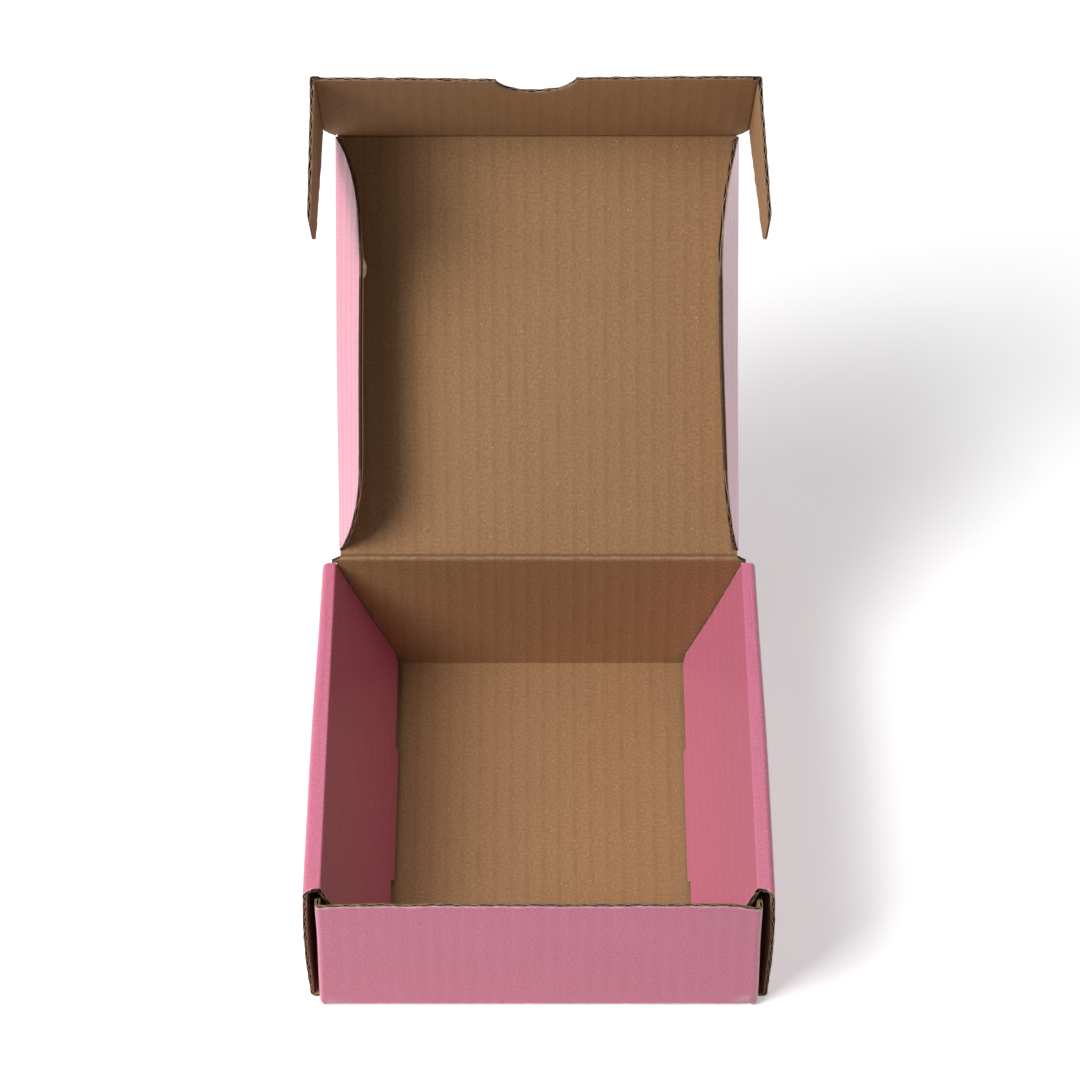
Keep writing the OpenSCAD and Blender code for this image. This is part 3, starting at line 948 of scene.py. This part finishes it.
class Nodes:
    """Short way to wire the nodes of a material or a world."""

    def __init__(self, tree):
        self.tree = tree

    def node(self, kind, **settings):
        """Adds a node with some of its settings."""
        n = self.tree.nodes.new("ShaderNode" + kind)
        for key, value in settings.items():
            setattr(n, key, value)
        return n

    def link(self, a, b):
        """Joins an output to an input."""
        self.tree.links.new(a, b)

    def put(self, value, socket):
        """Sets an input to a number or colour, or joins an output to it."""
        if isinstance(value, tuple):
            socket.default_value = (*value, 1)
        elif isinstance(value, (float, int)):
            socket.default_value = value
        else:
            self.link(value, socket)

    def noise(self, coords, scale, detail=3.0, rough=0.55, stretch=(1, 1, 1), shift=0.0):
        """Noise whose pattern is moved by shift."""
        at = self.node("Mapping")
        at.inputs["Scale"].default_value = stretch
        at.inputs["Location"].default_value = (shift, shift * 0.7, 0)
        self.link(coords, at.inputs["Vector"])
        n = self.node("TexNoise")
        n.inputs["Scale"].default_value = scale
        n.inputs["Detail"].default_value = detail
        n.inputs["Roughness"].default_value = rough
        self.link(at.outputs["Vector"], n.inputs["Vector"])
        return n.outputs["Fac"]

    def remap(self, value, a, b, c, d):
        """Carries the range from a to b over to the range from c to d."""
        n = self.node("MapRange")
        for i, v in enumerate((a, b, c, d)):
            n.inputs[i + 1].default_value = v
        self.link(value, n.inputs[0])
        return n.outputs[0]

    def mix(self, share, a, b):
        """Mixes a share of colour b into colour a."""
        n = self.node("Mix", data_type="RGBA")
        for socket, value in ((n.inputs[0], share), (n.inputs[6], a), (n.inputs[7], b)):
            self.put(value, socket)
        return n.outputs[2]

    def maths(self, op, a, b):
        """The result of an operation on two numbers."""
        n = self.node("Math", operation=op)
        self.put(a, n.inputs[0])
        self.put(b, n.inputs[1])
        return n.outputs[0]


def new_material(name):
    """A new material with its nodes and its shader."""
    mat = bpy.data.materials.new(name)
    mat.use_nodes = True
    return mat, Nodes(mat.node_tree), mat.node_tree.nodes["Principled BSDF"]


def darker(colour, share):
    """A share of a colour."""
    return tuple(share * c for c in colour)


def flute_bands(m, uv, colour, deep, shade):
    """Darkens a colour in broken bands over the flutes' crests."""
    split = m.node("SeparateXYZ")
    m.link(uv, split.inputs[0])
    turns = m.maths("MULTIPLY", split.outputs[0], 100 * 2 * math.pi / PITCH)
    crest = m.remap(m.maths("SINE", turns, 0.0), 0.3, 0.95, 0, 1)
    fade = m.remap(m.noise(uv, 4, 6, 0.75, (4, 2, 1), 9), 0.4, 0.62, 0.1, 1)
    return m.mix(m.maths("MULTIPLY", m.maths("MULTIPLY", crest, fade), shade), colour, deep)


def speckled(m, uv, colour, deep, pale, grain):
    """Adds pale fibre flecks and a few dark spots to a colour."""
    flecks = m.remap(m.noise(uv, 150, 2, 0.4, shift=2), 0.70, 0.74, 0, grain)
    colour = m.mix(flecks, colour, pale)
    spots = m.remap(m.noise(uv, 75, 1, 0.3, shift=7), 0.775, 0.80, 0, 0.6)
    return m.mix(spots, colour, darker(deep, 0.35))


def worn_and_shaded(m, uv, colour, deep, pale):
    """Makes a colour paler where the attribute is above 0, for real scuffing and a painted highlight,
    and paints shade where it is below 0.
    """
    wear_and_painted_light = m.node("Attribute", attribute_name="wear_and_painted_light").outputs["Fac"]
    uneven = m.remap(m.noise(uv, 30, 3, 0.6), 0.35, 0.6, 0.2, 1)
    colour = m.mix(m.maths("MULTIPLY", m.remap(wear_and_painted_light, 0.1, 1, 0, 0.75), uneven), colour, pale)
    # Painted shade: below 0 the colour darkens toward a dark brown.
    return m.mix(m.remap(wear_and_painted_light, 0, -1, 0, 0.75), colour, darker(deep, 0.3))


def paper_bump(m, uv):
    """Relief of the paper's fibres and of its broader unevenness."""
    relief = m.maths("ADD", m.maths("MULTIPLY", m.noise(uv, 160, 4, 0.6, shift=5), 0.7),
                     m.maths("MULTIPLY", m.noise(uv, 22, 3, 0.5, shift=6), 0.2))
    bump = m.node("Bump")
    bump.inputs["Strength"].default_value = 0.35
    bump.inputs["Distance"].default_value = 0.00012
    m.link(relief, bump.inputs["Height"])
    return bump.outputs["Normal"]


def paper(name, base, deep, pale, roughness, flute_shade, grain, coat=0.0, ior=1.5):
    """Paper with a fine grain, fibre flecks, broken flute bands, scuffed edges and the painted light
    of its creases.
    """
    mat, m, shader = new_material(name)
    uv = m.node("UVMap", uv_map="sheet").outputs["UV"]
    mottle = m.noise(uv, 90, 4, 0.8)
    cloud = m.noise(uv, 3.2, 3, 0.5, shift=4)
    colour = m.mix(m.remap(mottle, 0.38, 0.62, 0, 1), deep, base)
    colour = m.mix(m.remap(cloud, 0.35, 0.65, 0.0, 0.16), colour, deep)
    colour = flute_bands(m, uv, colour, deep, flute_shade)
    colour = speckled(m, uv, colour, deep, pale, grain)
    m.link(worn_and_shaded(m, uv, colour, deep, pale), shader.inputs["Base Color"])
    gloss = m.remap(mottle, 0.3, 0.7, roughness + 0.08, roughness - 0.06)
    m.link(gloss, shader.inputs["Roughness"])
    m.link(paper_bump(m, uv), shader.inputs["Normal"])
    shader.inputs["IOR"].default_value = ior
    shader.inputs["Coat Weight"].default_value = coat
    shader.inputs["Coat IOR"].default_value = ior
    shader.inputs["Coat Roughness"].default_value = 0.3
    return mat


MATERIALS = [
    paper("pink_print", (0.64, 0.192, 0.293), (0.54, 0.130, 0.213), (0.80, 0.52, 0.60),
          roughness=0.38, flute_shade=0.25, grain=0.35, coat=1.0, ior=1.25),
    paper("kraft_liner", (0.355, 0.197, 0.089), (0.248, 0.129, 0.052), (0.62, 0.46, 0.28),
          roughness=0.80, flute_shade=0.8, grain=1.0),
    paper("cut_edge", (0.20, 0.115, 0.068), (0.13, 0.07, 0.042), (0.40, 0.28, 0.175),
          roughness=0.88, flute_shade=0.0, grain=0.3),
]


# Floor, world, lights and camera

# Name, turn from the front to the right and rise in degrees, size in metres and power in watts
LIGHTS = [
    ("key", -60, 45, 1.0, 43.5),
    ("top", -75, 60, 1.0, 15),
    ("back", 160, 65, 1.4, 9.5),
    ("fill", 75, 25, 1.6, 2.5),
]
LIGHT_FAR = 2.2
LIGHT_AIM = (0, 0.05, 0.08)
# Brightness of the white room as glossy surfaces mirror it, and what the floor adds to its own
# for the camera and in glossy surfaces
MIRRORED = 1.5
FLOOR_SEEN = 0.4
FLOOR_MIRRORED = MIRRORED - 0.8
WHITE = (1, 1, 1, 1)
# Camera fitted to the photograph: the photograph's width, focal length and optical centre in its
# pixels, then the camera's place in metres, its look down in degrees and its sensor's width
PHOTO_W = 1080
FOCAL = 3632.6
CENTRE_X, CENTRE_Y = 538.87, 539.42
CAMERA_AT = (0, -0.86966, 1.1799)
LOOK_DOWN = 49.08
SENSOR = 36


def make_floor():
    """Pale floor that looks white to the camera and keeps the box's shadow."""
    mesh = bpy.data.meshes.new("floor")
    r = 6.0
    mesh.from_pydata([(-r, -r, 0), (r, -r, 0), (r, r, 0), (-r, r, 0)], [], [(0, 1, 2, 3)])
    floor = bpy.data.objects.new("floor", mesh)
    bpy.context.scene.collection.objects.link(floor)
    mat, m, shader = new_material("floor_white")
    shader.inputs["Base Color"].default_value = (0.86, 0.86, 0.86, 1)
    shader.inputs["Roughness"].default_value = 0.9
    shader.inputs["Emission Color"].default_value = WHITE
    light = m.node("LightPath")
    seen = m.maths("MULTIPLY", light.outputs["Is Camera Ray"], FLOOR_SEEN)
    in_gloss = m.maths("MULTIPLY", light.outputs["Is Glossy Ray"], FLOOR_MIRRORED)
    m.link(m.maths("ADD", seen, in_gloss), shader.inputs["Emission Strength"])
    mesh.materials.append(mat)


def make_world():
    """White world that only the camera and glossy surfaces see."""
    world = bpy.data.worlds.new("studio")
    bpy.context.scene.world = world
    world.use_nodes = True
    m = Nodes(world.node_tree)
    back = world.node_tree.nodes["Background"]
    rays = m.node("LightPath")
    gloss = m.maths("MULTIPLY", rays.outputs["Is Glossy Ray"], MIRRORED)
    m.link(m.maths("ADD", gloss, rays.outputs["Is Camera Ray"]), back.inputs["Strength"])
    back.inputs["Color"].default_value = WHITE


def area_light(name, turn, rise, size, power):
    """Soft square light, turned from the front to the right and risen by degrees."""
    data = bpy.data.lights.new(name, "AREA")
    data.shape = "SQUARE"
    data.size = size
    data.energy = power
    obj = bpy.data.objects.new(name, data)
    bpy.context.scene.collection.objects.link(obj)
    turn, rise = math.radians(turn), math.radians(rise)
    flat = math.cos(rise)
    toward = Vector((math.sin(turn) * flat, -math.cos(turn) * flat, math.sin(rise)))
    obj.location = Vector(LIGHT_AIM) + LIGHT_FAR * toward
    obj.rotation_mode = "QUATERNION"
    obj.rotation_quaternion = toward.to_track_quat("Z", "Y")


def make_camera():
    """The camera, as fitted to the photograph."""
    data = bpy.data.cameras.new("camera")
    data.sensor_width = SENSOR
    data.lens = FOCAL * SENSOR / PHOTO_W
    data.shift_x = (PHOTO_W / 2 - CENTRE_X) / PHOTO_W
    data.shift_y = (CENTRE_Y - PHOTO_W / 2) / PHOTO_W
    data.clip_start, data.clip_end = 0.05, 50
    cam = bpy.data.objects.new("camera", data)
    bpy.context.scene.collection.objects.link(cam)
    cam.location = CAMERA_AT
    cam.rotation_euler = (math.radians(90 - LOOK_DOWN), 0, 0)
    bpy.context.scene.camera = cam


make_tray()
for side in (-1, 1):
    make_panel(side)
make_lid()
for side in (-1, 1):
    make_side_flap(side)
make_tuck()
for side in (-1, 1):
    make_ear(side)
make_floor()
make_world()
for name, turn, rise, size, power in LIGHTS:
    area_light(name, turn, rise, size, power)
make_camera()

scene = bpy.context.scene
scene.view_settings.view_transform = "Standard"
